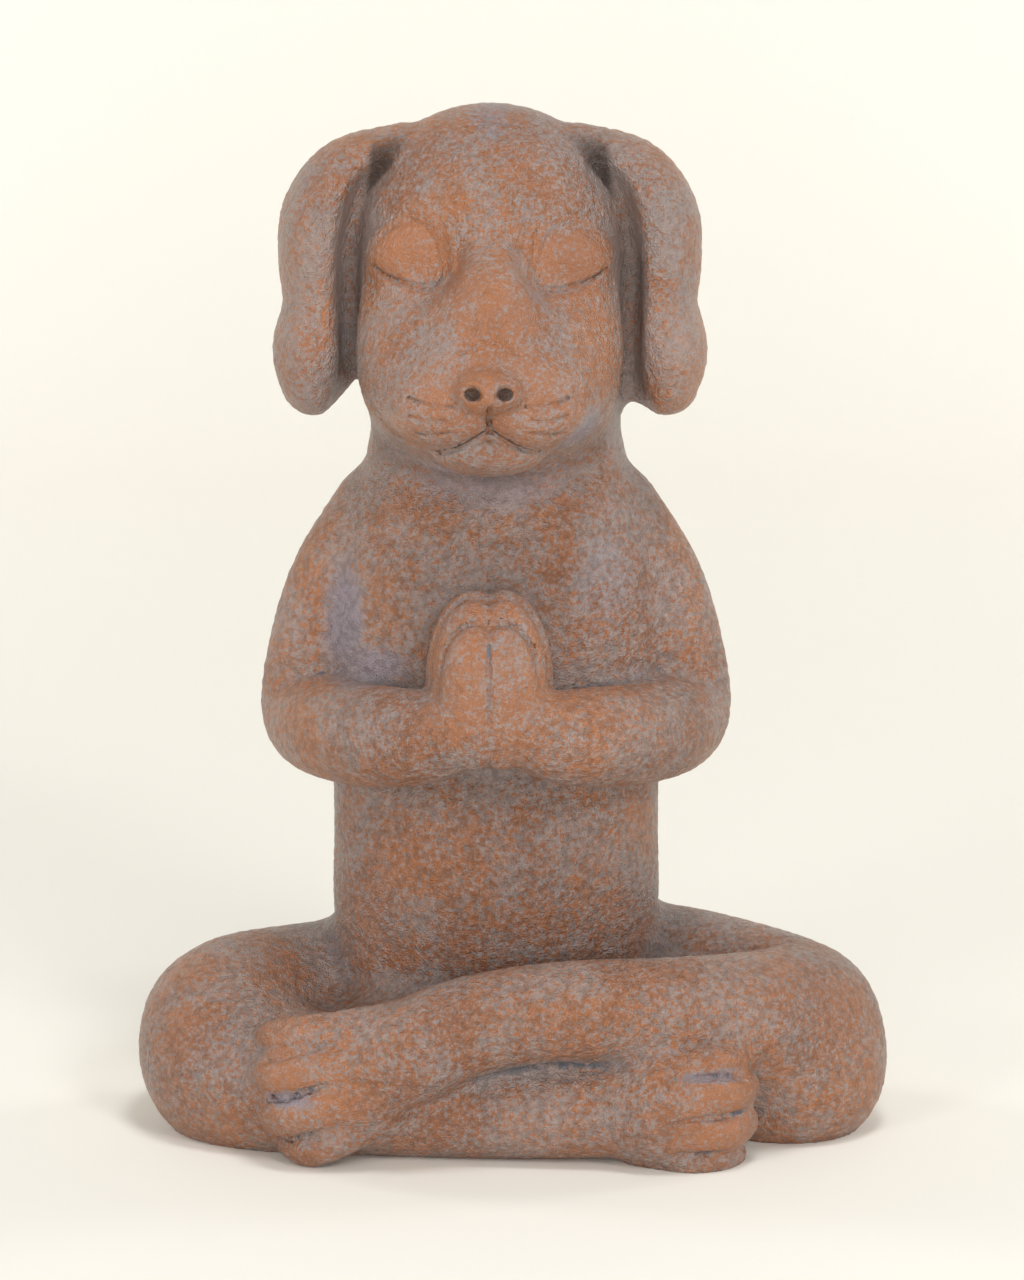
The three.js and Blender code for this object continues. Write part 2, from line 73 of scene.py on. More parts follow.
def rotation(turn):
    (cx, sx), (cy, sy), (cz, sz) = [(math.cos(math.radians(a)), math.sin(math.radians(a))) for a in turn]
    aboutX = np.array([[1, 0, 0], [0, cx, -sx], [0, sx, cx]])
    aboutY = np.array([[cy, 0, sy], [0, 1, 0], [-sy, 0, cy]])
    aboutZ = np.array([[cz, -sz, 0], [sz, cz, 0], [0, 0, 1]])
    return aboutX @ aboutY @ aboutZ


def egg(centre, size, turn=(0, 0, 0)):
    axes = rotation(turn) / np.array(size, float)
    shrink = np.array(size, float)

    def distance(p):
        d = p - centre
        out = np.sqrt((d * d).sum(1)) - max(size)
        close = out < farOff
        q = d[close] @ axes
        level = np.sqrt((q * q).sum(1))
        slope = np.sqrt(((q / shrink) ** 2).sum(1)) + 1e-9
        out[close] = level * (level - 1) / slope
        return out
    return distance


def curve(points):   # Catmull-Rom, five steps to a span
    points = np.array(points, float)
    spans = len(points) - 1
    rows = []
    for n in range(spans * 5 + 1):
        i = min(n // 5, spans - 1)
        f = n / 5 - i
        p0, p1, p2, p3 = [points[max(0, min(spans, k))] for k in (i - 1, i, i + 1, i + 2)]
        rows.append(p1 + f * ((p2 - p0) / 2 + f * (p0 - 2.5 * p1 + 2 * p2 - p3 / 2
                                                   + f * ((p3 - p0) / 2 + 1.5 * (p1 - p2)))))
    return np.array(rows)


def nearest(line, p):
    best = np.full(len(p), 1e9)
    for a, b in zip(line[:-1], line[1:]):
        edge = b[:3] - a[:3]
        away = p - a[:3]
        f = np.clip(away @ edge / (edge @ edge), 0, 1)
        away = away - f[:, None] * edge
        np.minimum(best, np.sqrt((away * away).sum(1)) - a[3] - f * (b[3] - a[3]), out=best)
    return best


def beyond(line, p):   # distance outside the ball that holds a whole curve
    middle = line[len(line) // 2]
    reach = (np.sqrt(((line[:, :3] - middle[:3]) ** 2).sum(1)) + line[:, 3]).max()
    d = p - middle[:3]
    return np.sqrt((d * d).sum(1)) - reach


def limb(points, flat=1.0):
    squeeze = np.array([1, 1 / flat, 1])
    line = curve(np.array(points, float) * np.append(squeeze, 1))

    def distance(p):
        q = p * squeeze
        out = beyond(line, q)
        close = out < farOff
        out[close] = nearest(line, q[close])
        return out
    return distance


def trunk(sections, boxiness):
    table = np.array(sections, float)
    last = len(table) - 1

    def distance(p):
        z = p[:, 2]
        i = np.clip(np.searchsorted(table[:, 0], z) - 1, 0, last - 1)
        p0, p1, p2, p3 = table[np.maximum(i - 1, 0)], table[i], table[i + 1], table[np.minimum(i + 2, last)]
        span = (p2[:, 0] - p1[:, 0])[:, None]
        f = np.clip((z - p1[:, 0])[:, None] / span, 0, 1)
        g = f * f * (3 - 2 * f)
        m1 = span * (p2 - p0) / (p2[:, :1] - p0[:, :1])
        m2 = span * (p3 - p1) / (p3[:, :1] - p1[:, :1])
        _, halfWidth, front, back = (p1 * (1 - g) + p2 * g + m1 * f * (1 - f) ** 2 - m2 * f * f * (1 - f)).T
        halfDepth = (back - front) / 2
        u = np.abs(p[:, 0]) / halfWidth
        v = np.abs(p[:, 1] - (front + back) / 2) / halfDepth
        level = (u ** boxiness + v ** boxiness) ** (1 / boxiness)
        side = (level - 1) * np.minimum(halfWidth, halfDepth)
        return np.maximum(np.maximum(side, table[0, 0] - z), z - table[-1, 0])
    return distance


def soft(a, b, radius):
    h = np.maximum(radius - np.abs(a - b), 0) / radius
    return np.minimum(a, b) - h * h * radius / 4


def join(radius, *forms):
    def distance(p):
        d = forms[0](p)
        for form in forms[1:]:
            d = soft(d, form(p), radius)
        return d
    return distance


def cut(radius, body, tool):
    return lambda p: -soft(-body(p), tool(p), radius)


def moved(dx, form):
    return lambda p: form(p - (dx, 0, 0))


def pair(form, drop=0.0):   # the same form on both sides, with the right-hand one a little lower
    def distance(p):
        q = p.copy()
        q[:, 0] = np.abs(p[:, 0])
        q[:, 2] += drop * (p[:, 0] > 0)
        return form(q)
    return distance


def frontOf(body, x, z):   # where a line along +Y first meets a mass
    p = np.stack([x, np.full(len(x), -140.0), z], 1)
    for _ in range(60):
        p[:, 1] += np.maximum(0.7 * body(p), 0)
    return p[:, 1]


def carve(body, strokes):   # strokes are (points, depth), with points as x, z, half width, drawn on the front
    squeeze = np.array([1, 0.35, 1])   # a tool pressed in from the front cuts further along y
    drawn = []
    for points, depth in strokes:
        x, z, halfWidth = np.array(points, float).T
        line = curve(np.stack([x, frontOf(body, x, z) * squeeze[1], z, halfWidth], 1))
        drawn.append((line, line[:, 3].max(), depth))

    def distance(p):
        d = body(p)
        skin = np.abs(d) < 9
        q = p * squeeze
        for line, widest, depth in drawn:
            close = skin & (beyond(line, q) < 0)
            off = 1 + nearest(line, q[close]) / widest
            d[close] += np.where(off < 1, depth * (1 - np.maximum(off, 0) ** 2) ** 2, 0)
        return d
    return distance


# The torso, from the seat up into the neck
torso = {
    "sections": [   # z, half width, front y, back y
        (-12, 60, -46, 52), (40, 63, -52, 54), (85, 67, -58, 52), (118, 66.5, -59, 49), (150, 67, -57, 47),
        (190, 70, -56, 47), (222, 68, -52, 46), (247, 61, -44, 42), (265, 54, -37, 38), (282, 50.5, -32, 35),
        (305, 49, -28, 34), (330, 44, -20, 36),
    ],
    "boxiness": 2.35,
    "shoulderBlade": ((34, 30, 212), (25, 17, 38), (0, 10, 0)),
    "spineFurrow": [(0, 58, 250, 8), (0, 60, 190, 10), (0, 58, 120, 10)],
    "arm": [
        (46, 2, 243, 22), (60, 0, 217, 24), (69, -5, 191, 23.5), (74, -11, 166, 21.5),
        (63, -43, 163, 20.5), (40, -69, 165, 20), (21, -80, 168, 17.5), (9, -85, 174, 15),
    ],
}


def torsoForm():
    back = join(20, trunk(torso["sections"], torso["boxiness"]), pair(egg(*torso["shoulderBlade"])))
    return join(5, cut(12, back, limb(torso["spineFurrow"])), pair(limb(torso["arm"])))


# The praying paws: three nested domes, each parted down the middle
paws = {
    "domes": [
        ((5.5, -90, 184), (14, 10.5, 28), (-3, 0, 0)),
        ((6, -81, 188), (16.5, 11.5, 32.5), (-3, 0, 0)),
        ((6, -71, 188), (19, 14, 35.5), (-3, 0, 0)),
    ],
    "palms": [((0, -62, 184), (16, 19, 33)), ((0, -56, 168), (38, 15, 17))],
    "strokes": [
        ([(0, 205, 1.3), (0, 197, 1.5), (0, 187, 1.5), (0, 176, 1.2)], 0.8),   # the seam
        ([(-18.5, 193, 1.1), (-17.4, 200, 1.6), (-14.6, 206.4, 1.7), (-10.5, 210.8, 1.7), (-5.5, 212.6, 1.6),
          (0, 211.8, 1.6), (5.5, 212.6, 1.6), (10.5, 210.8, 1.7), (14.6, 206.4, 1.7), (17.4, 200, 1.6),
          (18.5, 193, 1.1)], 1.8),
        ([(-21.8, 203, 1.1), (-17.4, 212.8, 1.5), (-11.6, 218.8, 1.6), (-6, 220.8, 1.5), (0, 220, 1.5),
          (6, 220.8, 1.5), (11.6, 218.8, 1.6), (17.4, 212.8, 1.5), (21.8, 203, 1.1)], 1.1),
        ([(-14, 190, 1.2), (-10.5, 188.5, 1.5), (-7, 189.5, 1.2)], 0.8),   # knuckles
        ([(14.5, 189, 1.2), (11, 187.6, 1.5), (7.5, 188.8, 1.2)], 0.8),
        ([(-9, 193.5, 1), (-6.5, 193, 1.3), (-4, 193.8, 1)], 0.6),
        ([(9, 193, 1), (6.5, 192.4, 1.3), (4, 193.2, 1)], 0.6),
    ],
}


def pawsForm():
    domes = pair(join(1.5, *[egg(*dome) for dome in paws["domes"]]))
    return join(4, carve(domes, paws["strokes"]), *[egg(*palm) for palm in paws["palms"]])


# The head, drawn for its right half and mirrored
head = {
    "skull": ((0, -2, 352), (58, 53, 58)),
    "jaw": ((0, -25, 315), (56, 43, 48)),
    "muzzle": ((0, -48, 299), (43, 41, 25), (-8, 0, 0)),
    "bridge": ((0, -52, 322), (21, 27, 32), (35, 0, 0)),
    "lip": ((17, -68, 291), (20, 20, 13), (0, -8, 12)),
    "chin": ((0, -58, 277), (23, 21, 11)),
    "nose": ((0, -86, 302), (13.6, 12.5, 9)),
    "nostril": ((6.4, -99, 301.6), (4.1, 6, 3.2)),
    "socket": ((31.5, -61, 352), (19, 13, 16)),
    "lid": ((32.5, -35.6, 351.5), (16.5, 13.5, 13.5)),
    "eyeDrop": 1.3,
    "eyeStrokes": [
        ([(16.8, 366, 2.5), (15.4, 359, 3), (14.6, 352, 3), (14.4, 345, 2.2)], -0.8),   # beside the bridge
        ([(18.8, 343.4, 1.1), (21.6, 340.4, 1.7), (28, 339.8, 1.9), (34.5, 341.3, 1.9), (41, 344, 1.7),
          (46, 347.8, 1.1)], 1.7),   # closed lids
        ([(21, 337.2, 1.6), (28, 336.6, 2), (35, 338.2, 2), (41.5, 341, 1.6)], -0.6),   # lower lid
        ([(20.2, 350, 1.6), (22.6, 359.4, 2), (30, 364.6, 2.2), (38, 362.4, 2), (44, 356, 1.6)], 0.7),
        ([(24, 367.5, 2), (31, 370.5, 2.6), (38, 370, 2.4), (43.5, 366, 1.8)], -0.8),   # brow
    ],
    "mouthStrokes": [
        ([(1.2, 286.2, 2.1), (5.8, 283.2, 2.2), (11.4, 279.8, 2.1), (17.5, 277, 1.7), (22, 276.6, 1.1)], 2.4),
        ([(22, 277, 2), (31.5, 278.6, 2.8), (38.5, 283.6, 2.8), (44.5, 291, 2.4), (48.5, 298, 1.8)], 0.8),
        ([(14, 296.2, 1.3), (22, 296, 1.8), (30.5, 299, 1.4)], 1.1),   # whisker lines
        ([(16.5, 291, 1.3), (24, 290.4, 1.8), (30, 292.3, 1.4)], 1.1),
        ([(15.5, 286, 1.3), (22, 285, 1.7), (29, 285.6, 1.3)], 1.0),
        ([(2.4, 302.8, 1.1), (4.2, 305.7, 1.3), (7.6, 305.9, 1.3), (10.2, 303.2, 1.1)], -0.8),   # nostril rim
    ],
    "middleStrokes": [
        ([(0, 296, 1.8), (0, 291, 1.9), (0, 286.4, 2.4)], 2.6),   # under the nose
        ([(-11, 315.4, 1.3), (-5, 318.2, 1.6), (0, 318.6, 1.6), (5, 318.2, 1.6), (11.5, 315, 1.3)], 0.6),
    ],
    "earFlap": [
        (36, -4, 393, 9), (57, -3, 383.5, 13), (66.5, -3, 366, 17), (68, -3, 347, 17), (67.5, -4, 330, 16),
        (70.5, -7, 312, 17), (70.5, -10, 299, 13.5),
    ],
    "earGroove": [
        (42, -30, 384, 1.5), (51, -27, 373, 3), (55.5, -24, 350, 4), (55.5, -22, 325, 4.5),
        (54, -20, 303, 5.5), (56, -16, 286, 8),
    ],
}


def headForm():
    face = join(14, join(20, join(14, egg(*head["skull"]), egg(*head["jaw"])), egg(*head["muzzle"])),
                egg(*head["bridge"]))
    drop = head["eyeDrop"]
    face = cut(9, pair(face), pair(egg(*head["socket"]), drop))
    face = join(4, face, pair(egg(*head["lid"]), drop))
    face = join(3, join(9, face, pair(egg(*head["lip"]))), egg(*head["chin"]))
    face = cut(1.5, join(3, face, egg(*head["nose"])), pair(egg(*head["nostril"])))
    strokes = bothSides(head["eyeStrokes"], drop) + bothSides(head["mouthStrokes"]) + head["middleStrokes"]
    face = carve(face, strokes)
    return cut(5, join(5, face, pair(limb(head["earFlap"], 2))), pair(limb(head["earGroove"], 2.6)))


def bothSides(strokes, drop=0.0):
    left = [([(-x, z, w) for x, z, w in points], depth) for points, depth in strokes]
    right = [([(x, z - drop, w) for x, z, w in points], depth) for points, depth in strokes]
    return left + right


# The crossed legs. Each runs from the hip over the knee and back across the middle.
legs = {
    "under": [
        (-36, 24, 40, 34), (-78, 6, 37, 36), (-113.5, -28, 35, 38), (-98, -58, 26, 32), (-52, -77, 24, 25),
        (-5, -83, 21, 21.5), (35, -88, 21, 20), (52, -92, 22, 19),
    ],
    "over": [
        (38, 24, 44, 36), (78, 7, 40.5, 36.5), (114, -26, 36, 37), (99, -57, 46, 30), (62, -80, 56, 23),
        (20, -90, 60, 20), (-15, -94, 55.5, 20), (-38, -96, 46, 21),
    ],
    "underFoot": [((60, -95, 25), (23, 20, 25)), ((75, -93, 23), (19.5, 13.5, 24))],   # heel, ball
    "overFoot": [((-58, -92, 34), (27, 18, 28)), ((-80, -89, 31), (19, 14.5, 26))],
    "underToes": [
        [(50, -91, 36, 12), (66, -101, 41, 8), (80, -99, 42.8, 6.8), (88.5, -91, 41, 5.8)],
        [(50, -94, 29, 14), (68, -102, 30.8, 9.6), (82, -100, 30.6, 9), (89.5, -91, 30.5, 7.4)],
        [(50, -94, 18, 13), (68, -102, 15.5, 9.2), (82, -100, 15.3, 8.8), (89.5, -91, 16, 7.2)],
        [(52, -92, 8, 10), (68, -100, 3.5, 8), (79, -98, 3, 7), (86, -91, 3.5, 6)],
    ],
    "overToes": [
        [(-54, -94, 50, 13), (-74, -98, 53.4, 8.2), (-88, -92, 50.4, 7.8), (-94.5, -83, 48, 6.8)],
        [(-54, -98, 42, 15), (-76, -102, 41.2, 9.6), (-89, -97, 37.4, 9.3), (-95.5, -87, 35.5, 8)],
        [(-54, -98, 31, 15), (-76, -103, 25.5, 9.6), (-88, -97, 21, 9.3), (-93.5, -87, 19.8, 8)],
        [(-54, -96, 24, 13), (-71, -100, 11, 8.4), (-81, -95, 7.2, 7.6), (-87.5, -87, 7.8, 6.4)],
    ],
    "underToeLines": [
        ([(62, 40, 1.1), (71, 38.6, 1.8), (83, 38, 1.8), (91, 35, 1.1)], 1.5),
        ([(60.5, 21.6, 1.1), (70, 23, 1.9), (80, 22.5, 1.9), (91, 24, 1.1)], 1.7),
        ([(62, 8.8, 1.1), (70.5, 7.8, 1.8), (78, 8.4, 1.8), (86, 9, 1.1)], 1.5),
    ],
    "overToeLines": [
        ([(-97.5, 42, 1.1), (-88, 45.2, 1.8), (-77.6, 48.6, 1.8), (-71, 52, 1.1)], 1.5),
        ([(-94.8, 27, 1.1), (-85, 30.2, 1.9), (-77.6, 34, 1.9), (-71, 37, 1.1)], 1.9),
        ([(-91, 10.8, 1.1), (-82, 14.2, 1.8), (-73, 17.6, 1.1)], 1.6),
    ],
    "knee": ((108, -40, 22), (40, 38, 33)),
    "kneeShift": 2.5,
    "lap": ((0, -34, 26), (92, 58, 38)),
    "tail": [(-6, 50, 16, 14), (14, 68, 12, 12), (38, 74, 10, 10), (58, 68, 9, 7)],
}


def foot(masses, toes, lines):
    return carve(join(2, *[egg(*mass) for mass in masses], *[limb(toe) for toe in toes]), lines)


def legsForm():
    underFoot = foot(legs["underFoot"], legs["underToes"], legs["underToeLines"])
    overFoot = foot(legs["overFoot"], legs["overToes"], legs["overToeLines"])
    under = join(7, limb(legs["under"]), underFoot)
    over = join(7, limb(legs["over"]), overFoot)
    return join(10, join(2.5, under, over), moved(legs["kneeShift"], pair(egg(*legs["knee"]))))


def dogForm():
    bust = join(14, moved(figure["spineX"], torsoForm()), moved(figure["headX"], headForm()))
    upper = join(2.5, bust, moved(figure["headX"], pawsForm()))
    return join(10, join(8, upper, egg(*legs["lap"])), legsForm(), limb(legs["tail"]))


dog = dogForm()
print("dog: shape ready")


def grounded(form):   # the figure sits flat on the ground
    return lambda p: np.maximum(form(p), -p[:, 2])


def slopeOf(form, p, step=0.25):
    here = form(p)
    ahead = [form(p + np.eye(3)[k] * step) for k in range(3)]
    slope = (np.stack(ahead, 1) - here[:, None]) / step
    return here, slope / np.maximum(np.sqrt((slope ** 2).sum(1)), 1e-6)[:, None]


def snap(form, p):   # draws points onto the surface
    here, slope = slopeOf(form, p)
    for _ in range(3):
        p = p - np.clip(here, -1.5, 1.5)[:, None] * slope
        here = form(p)
    return p


def fromPart(co):   # metres in the part's frame to millimetres in the figure's own
    return co / mm / figure["grow"] + np.array(figure["footCentre"])


def toPart(p):
    return (p - np.array(figure["footCentre"])) * mm * figure["grow"]


def pointsOf(mesh):
    co = np.empty(len(mesh.vertices) * 3)
    mesh.vertices.foreach_get("co", co)
    return co.reshape(-1, 3)


def applyModifiers(obj):   # the object's modifiers made part of its mesh
    bpy.context.view_layer.update()
    graph = bpy.context.evaluated_depsgraph_get()
    mesh = bpy.data.meshes.new_from_object(obj.evaluated_get(graph), depsgraph=graph)
    old = obj.data
    obj.modifiers.clear()
    obj.data = mesh
    bpy.data.meshes.remove(old)


def within(p, centre, radius):   # 1 at a place, fading to 0 at its radius
    d = np.sqrt((((p - centre) / radius) ** 2).sum(1))
    f = np.clip(1.6 - 1.6 * d, 0, 1)
    return f * f * (3 - 2 * f)


# Modelled fur: short overlapping dabs, long on the belly, round on the limbs, none where fingers rub
fur = {
    "spacing": 3.8,
    "everywhere": 0.5,   # height
    "belly": ((-6, -58, 112), (84, 60, 62)),   # centre, radius
    "bellyHeight": 1.3,
    "patches": [   # centre, radius, height
        ((-6, -40, 215), (75, 60, 55), 0.8),
        ((-70, -30, 190), (45, 70, 70), 0.7),
        ((58, -30, 190), (45, 70, 70), 0.9),
        ((0, -90, 50), (75, 40, 50), 1.1),
        ((100, -40, 40), (60, 70, 60), 1.0),
        ((-100, -40, 40), (60, 70, 60), 0.9),
        ((-9, -20, 390), (60, 70, 40), 0.55),
    ],
    "rubbedAndShaded": [   # centre, radius: worn smooth, and darkened with painted shade
        ((-9, -80, 296), (44, 40, 32)),
        ((-9, -62, 330), (30, 30, 34)),
        ((-41, -50, 351), (24, 26, 22)),
        ((23, -50, 350), (24, 26, 22)),
        ((-9, -84, 192), (36, 34, 42)),
        ((78, -98, 24), (28, 32, 32)),
        ((-80, -96, 32), (28, 34, 34)),
    ],
    "parting": (-6, -60, 74),   # the belly strokes spread from here
    "bellyTop": 150,
}


def furHeightAt(p):
    height = np.maximum(fur["everywhere"], fur["bellyHeight"] * within(p, *fur["belly"]))
    for centre, radius, high in fur["patches"]:
        height = np.maximum(height, high * within(p, centre, radius))
    for centre, radius in fur["rubbedAndShaded"]:
        height *= 1 - within(p, centre, radius)
    return height


def furDabs(p, normals):   # one dab in each small cube that the skin passes through
    rng = np.random.default_rng(7)
    order = rng.permutation(len(p))
    cells = np.floor(p[order] / fur["spacing"]).astype(int)
    _, first = np.unique(cells, axis=0, return_index=True)
    chosen = order[first]
    centres, up = p[chosen], normals[chosen]
    lie = centres - np.array(fur["parting"])
    lie[:, 2] = np.where(centres[:, 2] > fur["bellyTop"], -60, lie[:, 2])   # hangs straight down above it
    lie += rng.normal(0, 9, lie.shape)
    lie -= (lie * up).sum(1)[:, None] * up
    lie /= np.maximum(np.sqrt((lie ** 2).sum(1)), 1e-6)[:, None]
    belly = within(centres, *fur["belly"])
    length = fur["spacing"] * rng.uniform(0.52, 0.75, len(chosen)) * (1 + 0.8 * belly)
    width = fur["spacing"] * rng.uniform(0.40, 0.58, len(chosen))
    high = rng.uniform(0.5, 1.0, len(chosen))
    return centres, up, lie, length, width, high


def furRelief(p, dabs, reach=6):   # 0 between dabs, up to 1 on their backs
    centres, up, lie, length, width, high = dabs
    tree = KDTree(len(centres))
    for i, centre in enumerate(centres):
        tree.insert(centre, i)
    tree.balance()
    found = np.array([[hit[1] for hit in tree.find_n(at, reach)] for at in p])
    relief = np.zeros(len(p))
    for k in range(reach):
        i = found[:, k]
        d = p - centres[i]
        along = (d * lie[i]).sum(1) / length[i]
        across = (d * np.cross(up[i], lie[i])).sum(1) / width[i]
        back = np.sqrt(np.clip(1 - along ** 2 - across ** 2, 0, 1)) * high[i] * (0.7 + 0.3 * along)
        relief = np.maximum(relief, back)
    return relief


def writePoints(mesh, p):
    mesh.vertices.foreach_set("co", toPart(p).ravel())
    mesh.update()
    mesh.update_tag()


def writeValue(mesh, name, value):
    layer = mesh.attributes.new(name, "FLOAT", "POINT")
    layer.data.foreach_set("value", value.astype(np.float32))


def rubbedAndShadedAt(p):
    rubbedAndShaded = np.zeros(len(p))
    for centre, radius in fur["rubbedAndShaded"]:
        rubbedAndShaded = np.maximum(rubbedAndShaded, within(p, centre, radius))
    return rubbedAndShaded


def refine(obj, wanted):   # halves the edges between the wanted points
    build = bmesh.new()
    build.from_mesh(obj.data)
    build.edges.ensure_lookup_table()
    ends = np.empty(len(obj.data.edges) * 2, int)
    obj.data.edges.foreach_get("vertices", ends)
    chosen = np.flatnonzero(wanted[ends.reshape(-1, 2)].all(1))
    bmesh.ops.subdivide_edges(build, edges=[build.edges[i] for i in chosen], cuts=1, use_grid_fill=True)
    build.to_mesh(obj.data)
    build.free()


def thinOut(obj, triangles):
    count = sum(len(face.vertices) - 2 for face in obj.data.polygons)
    print("skin: thinning", count, "triangles")
    thin = obj.modifiers.new("thinned", "DECIMATE")
    thin.ratio = min(1, triangles / count)
    thin.use_collapse_triangulate = True
    applyModifiers(obj)


# The skin: an even mesh of the plain cast, finer where fine forms are, drawn onto the modelled shape
skin = {
    "voxel": 2.1,
    "triangles": 196000,
    "sole": 1.0,          # nothing is modelled below this height
    "creaseReach": 2.0,   # how far out a crease is felt
    "hollowReach": 9.0,
    "earsFrom": 46,       # from the middle of the head: the ears' broad hollows are no creases
    "earsAbove": 270,
    "pawsBelow": 250,     # creases are softer down here
    "nostril": ((6.4, -97, 301.4), (4.6, 10, 3.6)),   # centre from the middle of the head, radius: painted shade inside the nostril
}


# how deep a point lies in a crease or inside a nostril: painted shade goes there
def creaseAt(form, p, normals, below):
    reach = skin["creaseReach"]
    crease = np.clip(1 - (form(p + reach * normals) - below) / reach, 0, 1)
    aside = np.abs(p[:, 0] - figure["headX"])
    crease *= 1 - 0.8 * np.clip((aside - skin["earsFrom"]) / 5, 0, 1) * (p[:, 2] > skin["earsAbove"])
    crease *= np.where(p[:, 2] < skin["pawsBelow"], 0.75, 1)
    # painted shade inside the nostrils
    (x, y, z), radius = skin["nostril"]
    for side in (-1, 1):
        crease = np.maximum(crease, 0.9 * within(p, (figure["headX"] + side * x, y, z), radius))
    return crease


def castSkin():
    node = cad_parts["praying_dog"]
    obj = bpy.data.objects.new(figure["name"], node.data.copy())
    bpy.context.scene.collection.objects.link(obj)
    obj.data.materials.clear()
    remesh = obj.modifiers.new("even skin", "REMESH")
    remesh.mode = "VOXEL"
    remesh.voxel_size = skin["voxel"] * mm
    applyModifiers(obj)
    form = grounded(dog)
    p = snap(form, fromPart(pointsOf(obj.data)))
    writePoints(obj.data, p)
    _, normals = slopeOf(form, p)
    refine(obj, (normals[:, 1] < 0.25) & (p[:, 2] > skin["sole"]))   # finer in front
    p = fromPart(pointsOf(obj.data))
    refine(obj, rubbedAndShadedAt(p) > 0.1)   # finer still on the face, paws and feet
    p = fromPart(pointsOf(obj.data))
    print("skin: drawing", len(p), "points onto the shape")
    p = snap(form, p)
    _, normals = slopeOf(form, p)
    dabs = furDabs(p, normals)
    print("skin:", len(dabs[0]), "dabs of fur")
    height = furHeightAt(p) * (p[:, 2] > skin["sole"])
    p = p + ((furRelief(p, dabs) - 1) * height)[:, None] * normals
    writePoints(obj.data, p)
    thinOut(obj, skin["triangles"])
    print("skin:", len(obj.data.polygons), "triangles kept")

    low, high = [np.array(corner) for corner in cadBox]
    co = np.clip(pointsOf(obj.data), low, high)
    obj.data.vertices.foreach_set("co", co.ravel())
    p = fromPart(co)
    _, normals = slopeOf(form, p)
    below = form(p)
    reach = skin["hollowReach"]
    writeValue(obj.data, "crease", creaseAt(form, p, normals, below))
    writeValue(obj.data, "hollow", np.clip(1 - (form(p + reach * normals) - below) / reach, 0, 1))
    writeValue(obj.data, "rubbedAndShaded", rubbedAndShadedAt(p))
    writeValue(obj.data, "furPit", (1 - furRelief(p, dabs)) * np.clip(furHeightAt(p), 0, 1))
    wash = np.zeros(len(p))
    for centre, radius, amount in paint["washes"]:
        wash = np.maximum(wash, amount * within(p, centre, radius))
    writeValue(obj.data, "wash", wash)
    obj.data.shade_smooth()
    return obj


# Painted cast stone: cement poured in a mould, which leaves a pebbled grain. A blue-grey first coat shows
# through in specks where the rust-brown top coat was sponged and wiped over it. Satin, with small glints.
# Painted shade darkens the carved lines, the gaps between the pebbles and fur dabs, and the face, paws and
# feet.
paint = {
    "rust": "B97A52",
    "umber": "A36C4C",
    "blueGrey": "A2ACB1",
    "washBlue": "8FA4BF",
    "shade": "33261F",       # painted shade: in the lines of the face, thinly between the pebbles and fur dabs, and over the face, paws and feet
    "slate": "59606B",       # painted shade in the lines of the paws and feet, partly the blue-grey first coat that lies in them
    "faceFrom": 0.235,       # m, slate turns to shade between these heights
    "faceFully": 0.262,
    "speck": 1.8,            # mm, the largest specks; real ones are finer than the render can show
    "patch": 24.0,           # mm, where specks crowd or thin out
    "drift": 55.0,           # mm, slow change of the rust
    "pebble": 2.7,           # mm, the cast's own pebbled grain
    "grain": 0.8,            # mm, the sand in it
    "grainHeight": 2.0,      # mm
    "firstCoat": 0.56,       # how strongly the specks cover
    "shows": {"hollow": 0.10, "furPit": 0.04, "wash": 0.16, "rubbedAndShaded": -0.03},   # more or fewer specks
    "metallic": 0.0,
    "ior": 1.5,
    "roughness": 0.34,
    "washes": [   # centre, radius, strength: where the first coat was left to show
        ((-68, -40, 208), (12, 30, 34), 1.0),
        ((-60, -50, 190), (26, 24, 10), 0.9),
        ((26, -60, 284), (14, 22, 14), 0.9),
        ((14, -74, 340), (9, 22, 7), 0.9),
        ((-55, -66, 346), (9, 22, 6), 0.7),
        ((-38, -66, 363), (16, 22, 4), 0.6),
        ((22, -66, 363), (16, 22, 4), 0.6),
        ((-9, -40, 262), (46, 26, 16), 0.45),
        ((-9, -20, 404), (10, 40, 14), 0.5),
        ((-84, -104, 29), (18, 14, 4), 1.0),
        ((78, -108, 39), (20, 14, 4), 0.8),
        ((40, -50, 225), (20, 22, 30), 0.3),
    ],
}

cast = castSkin()
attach(cast, "root")
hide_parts("praying_dog")
print("skin: done")


def colour(code):   # sRGB hex to linear
    values = [int(code[i:i + 2], 16) / 255 for i in (0, 2, 4)]
    return [v / 12.92 if v < 0.04045 else ((v + 0.055) / 1.055) ** 2.4 for v in values] + [1]


def addNode(tree, kind, wanted=0, settings=None, **inputs):   # gives the wanted output
    node = tree.nodes.new(kind)
    for name, value in (settings or {}).items():
        setattr(node, name, value)
    for name, value in inputs.items():
        socket = node.inputs[int(name[1:])] if name[0] == "_" else node.inputs[name]   # by number, as _0
        if isinstance(value, bpy.types.NodeSocket):
            tree.links.new(value, socket)
        else:
            socket.default_value = value
    return node.outputs[wanted]


